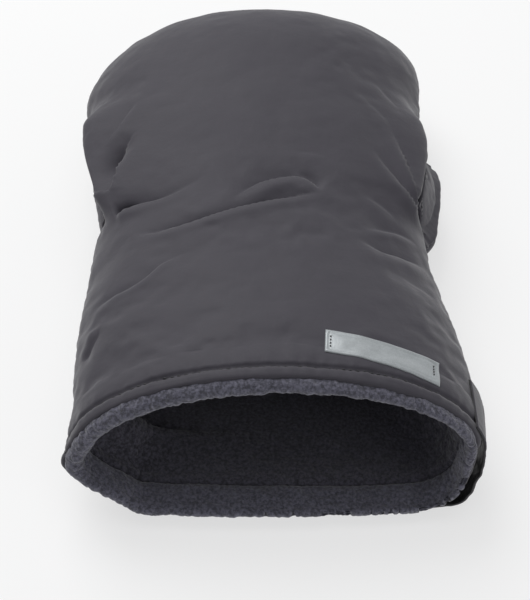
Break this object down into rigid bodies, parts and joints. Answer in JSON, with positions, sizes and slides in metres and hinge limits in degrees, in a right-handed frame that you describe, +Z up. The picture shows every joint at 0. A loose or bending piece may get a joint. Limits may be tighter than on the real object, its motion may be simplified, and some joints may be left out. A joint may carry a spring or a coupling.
{
  "type": "hand warmer muff",
  "caption": "Padded, fleece-lined mitten that stays on a pushchair handlebar: waisted body, wide cuff, flapped bar slots with press studs, cuff strap.",
  "frame": {"origin": "centre of the bounding box in plan, at the height of the muff's flat underside", "axes": "+X to the wearer's right, +Y from the cuff to the rounded far end, +Z up out of the upper panel"},
  "size_m": [0.2232, 0.3288, 0.0898],
  "materials": {
    "shell_nylon": "satin-matt grey coated nylon",
    "flap_nylon": "satin-matt grey coated nylon",
    "strap_webbing": "matt grey webbing",
    "black_tape": "black woven tape",
    "wadding": "white fibre wadding",
    "fleece": "brushed blue-grey fleece",
    "binding": "matt dark grey lining cloth",
    "thread": "grey polyester thread",
    "label_thread": "grey polyester thread",
    "label": "silver retro-reflective woven tape",
    "snap_cap": "satin grey enamel",
    "snap_metal": "dull nickel plate"
  },
  "bodies": {
    "muff": {"cuff_topstitch": "thread", "label_stitching": "label_thread", "left_slot_facing": "binding", "loop_tape": "black_tape", "lower_cuff_facing": "fleece", "lower_lining": "fleece", "lower_shell": "shell_nylon", "lower_wadding": "wadding", "reflective_label": "label", "right_slot_facing": "binding", "snap_posts": "snap_metal", "snap_studs": "snap_metal", "strap_anchor": "strap_webbing", "strap_bar_tacks": "thread", "stud_patches": "binding", "upper_cuff_facing": "fleece", "upper_lining": "fleece", "upper_shell": "shell_nylon", "upper_wadding": "wadding"},
    "right_bar_flap": {"right_flap_lining": "binding", "right_flap_shell": "flap_nylon", "right_flap_topstitch": "thread", "right_flap_wadding": "wadding", "right_snap_cap": "snap_cap", "right_snap_socket": "snap_metal"},
    "left_bar_flap": {"left_flap_lining": "binding", "left_flap_shell": "flap_nylon", "left_flap_topstitch": "thread", "left_flap_wadding": "wadding", "left_snap_cap": "snap_cap", "left_snap_socket": "snap_metal"},
    "cuff_strap": {"strap_shell": "strap_webbing", "strap_lining": "black_tape", "hook_tape": "black_tape"}
  },
  "joints": [
    {"name": "right_flap_hinge", "type": "hinge", "parent": "muff", "child": "right_bar_flap", "pos_m": [0.09369, 0.03239, 0.0315], "axis": [0.1088, 0.9941, 0], "range_deg": [0, 110]},
    {"name": "left_flap_hinge", "type": "hinge", "parent": "muff", "child": "left_bar_flap", "pos_m": [-0.10274, 0.03239, 0.0315], "axis": [0.1539, -0.9881, 0], "range_deg": [0, 110]},
    {"name": "cuff_strap_hinge", "type": "hinge", "parent": "muff", "child": "cuff_strap", "pos_m": [0.11026, -0.13856, 0.04], "axis": [0.0413, -0.9991, 0], "range_deg": [0, 120]}
  ]
}
